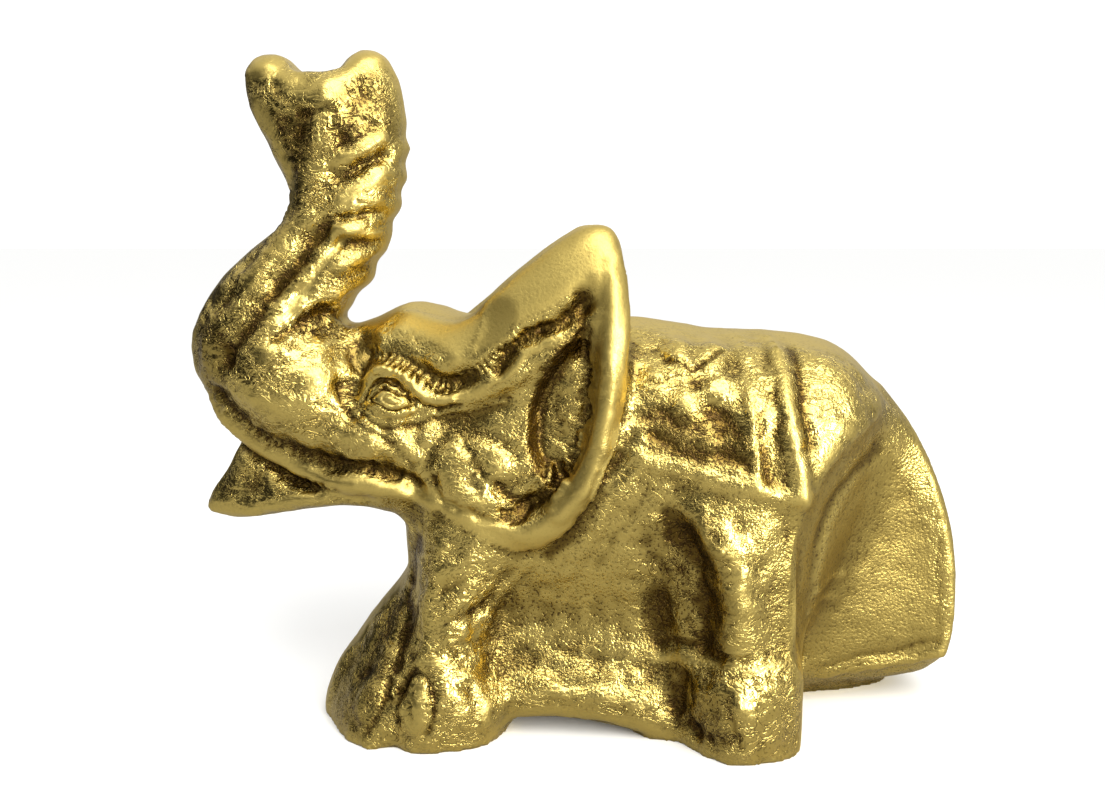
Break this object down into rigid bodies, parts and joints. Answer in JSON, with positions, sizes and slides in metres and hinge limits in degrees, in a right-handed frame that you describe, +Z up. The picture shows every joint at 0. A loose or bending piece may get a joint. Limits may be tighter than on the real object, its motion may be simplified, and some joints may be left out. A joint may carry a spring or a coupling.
{
  "type": "elephant figurine",
  "caption": "Cast brass elephant figurine, walking, with raised trunk, spread ears and a saddle cloth; stands on flat soles.",
  "frame": {"origin": "centre of the bounding box at the level of the soles", "axes": "+Z up, the elephant faces -X, its left side faces -Y"},
  "size_m": [0.1054, 0.0362, 0.09],
  "materials": {
    "brass": "sand-cast and lightly polished, granular skin, dark brown patina in the hollows"
  },
  "bodies": {
    "root": {"elephant_figurine": "brass"}
  },
  "joints": []
}
